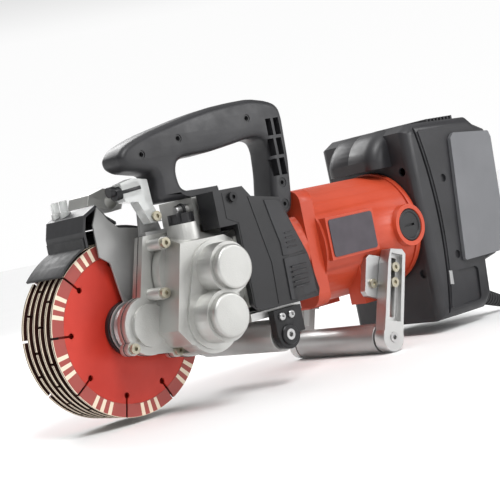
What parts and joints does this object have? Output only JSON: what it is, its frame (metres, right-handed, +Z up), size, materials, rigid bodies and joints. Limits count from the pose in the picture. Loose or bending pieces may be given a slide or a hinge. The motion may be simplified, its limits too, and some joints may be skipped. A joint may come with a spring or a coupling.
{
  "type": "wall chaser",
  "caption": "Corded wall chaser with a stack of diamond blades, a sprung blade guard, depth rollers, a closed front handle and a line laser.",
  "frame": {"origin": "middle of the tool's footprint without its cord, on the surface that the rear roller stands on", "axes": "+X along the motor axis from the blades to the rear housing, +Y along the blade spindle towards the arbor nut, +Z up"},
  "size_m": [0.703, 0.2271, 0.264],
  "materials": {
    "blade_paint": "worn red paint",
    "diamond_segment": "sintered metal",
    "machined_steel": "ground",
    "zinc_screws": "zinc plated",
    "black_steel": "black oxide",
    "cast_aluminium": "fine cast",
    "polished_aluminium": "brushed",
    "black_plastic": "satin, fine grain",
    "dark_grey_plastic": "fine grain",
    "light_grey_plastic": "satin",
    "orange_plastic": "satin",
    "label_film": "smooth film",
    "lamination": "stacked sheet",
    "copper": "enamelled winding",
    "carbon": "pressed",
    "black_rubber": "matt",
    "clear_plastic": "clear, moulded",
    "roller_polymer": "turned"
  },
  "bodies": {
    "tool": {"shaft_bearings": "machined_steel", "gearcase": "cast_aluminium", "gearcase_cover": "cast_aluminium", "bearing_caps": "cast_aluminium", "filler_plug": "black_plastic", "steel_screws": "zinc_screws", "gearhead": "cast_aluminium", "gear_cover": "black_plastic", "handle_near": "black_plastic", "handle_far": "black_plastic", "housing_screws": "black_steel", "motor_housing": "orange_plastic", "nameplate": "label_film", "stator": "lamination", "stator_windings": "copper", "brush_holders": "copper", "carbon_brushes": "carbon", "brush_caps": "black_plastic", "rear_housing_near": "dark_grey_plastic", "rear_housing_far": "dark_grey_plastic", "side_panel": "light_grey_plastic", "cord_boot": "black_rubber", "cord": "black_rubber", "cord_coil": "black_rubber", "plug": "black_rubber", "base_plate": "polished_aluminium", "roller_brackets": "black_steel", "front_axle": "machined_steel", "clamp_blocks": "polished_aluminium", "guard_spring": "black_steel", "laser_stand": "black_steel"},
    "blade_spindle": {"front_blade": "blade_paint", "rear_blades": "blade_paint", "blade_spacers": "machined_steel", "clamp_flanges": "black_steel", "arbor_nut": "black_steel", "spindle": "machined_steel", "spindle_gear": "machined_steel"},
    "idler": {"idler_shaft": "machined_steel", "idler_gears": "machined_steel"},
    "upper_gear": {"upper_gear_shaft": "machined_steel"},
    "cross_gear": {"cross_shaft": "machined_steel", "crown_gear": "machined_steel"},
    "armature": {"armature_shaft": "machined_steel", "armature_core": "lamination", "commutator": "copper", "cooling_fan": "black_plastic"},
    "blade_guard": {"guard_plate": "machined_steel", "guard_hood": "dark_grey_plastic", "guard_flap": "black_rubber", "dust_port": "cast_aluminium", "spray_nozzles": "clear_plastic"},
    "laser": {"laser_holder": "clear_plastic", "laser_emitter": "black_steel"},
    "front_wheel": {"front_roller": "roller_polymer"},
    "depth_stop": {"depth_arm_near": "polished_aluminium", "depth_arm_far": "polished_aluminium", "rear_axle": "machined_steel"},
    "rear_wheel": {"rear_roller": "roller_polymer"},
    "switch": {"switch_rocker": "black_plastic"}
  },
  "joints": [
    {"name": "spindle_spin", "type": "hinge", "parent": "tool", "child": "blade_spindle", "pos_m": [-0.1975, 0.011, 0.083], "axis": [0, 1, 0], "continuous": true},
    {"name": "idler_spin", "type": "hinge", "parent": "tool", "child": "idler", "pos_m": [-0.1537, 0.011, 0.07878], "axis": [0, 1, 0], "continuous": true},
    {"name": "upper_spin", "type": "hinge", "parent": "tool", "child": "upper_gear", "pos_m": [-0.14003, 0.011, 0.1185], "axis": [0, 1, 0], "continuous": true},
    {"name": "cross_spin", "type": "hinge", "parent": "tool", "child": "cross_gear", "pos_m": [-0.0941, 0.011, 0.116], "axis": [0, 1, 0], "continuous": true},
    {"name": "armature_spin", "type": "hinge", "parent": "tool", "child": "armature", "pos_m": [-0.0941, 0.011, 0.116], "axis": [1, 0, 0], "continuous": true},
    {"name": "guard_swing", "type": "hinge", "parent": "tool", "child": "blade_guard", "pos_m": [-0.1975, 0.011, 0.083], "axis": [0, 1, 0], "range_deg": [-50, 12], "stiffness_Nm_per_rad": 1.2, "springref_deg": 1.72},
    {"name": "laser_tilt", "type": "hinge", "parent": "tool", "child": "laser", "pos_m": [-0.1705, 0.011, 0.174], "axis": [0, 1, 0], "range_deg": [-8, 8]},
    {"name": "front_roller_spin", "type": "hinge", "parent": "tool", "child": "front_wheel", "pos_m": [-0.0735, 0.011, 0.046], "axis": [0, 1, 0], "continuous": true},
    {"name": "depth_slide", "type": "slide", "parent": "tool", "child": "depth_stop", "axis": [0.3223, 0, 0.9466], "range_m": [-0.006, 0.016]},
    {"name": "rear_roller_spin", "type": "hinge", "parent": "depth_stop", "child": "rear_wheel", "pos_m": [0.0565, 0.011, 0.0145], "axis": [0, 1, 0], "continuous": true},
    {"name": "switch_rock", "type": "hinge", "parent": "tool", "child": "switch", "pos_m": [0.2685, 0.011, 0.163], "axis": [0, 1, 0], "range_deg": [-7, 7]}
  ],
  "couplings": [
    {"joint": "idler_spin", "follows": "spindle_spin", "ratio": -0.83333},
    {"joint": "upper_spin", "follows": "spindle_spin", "ratio": 1.1111},
    {"joint": "cross_spin", "follows": "spindle_spin", "ratio": -0.71429},
    {"joint": "armature_spin", "follows": "spindle_spin", "ratio": -2.1429}
  ]
}
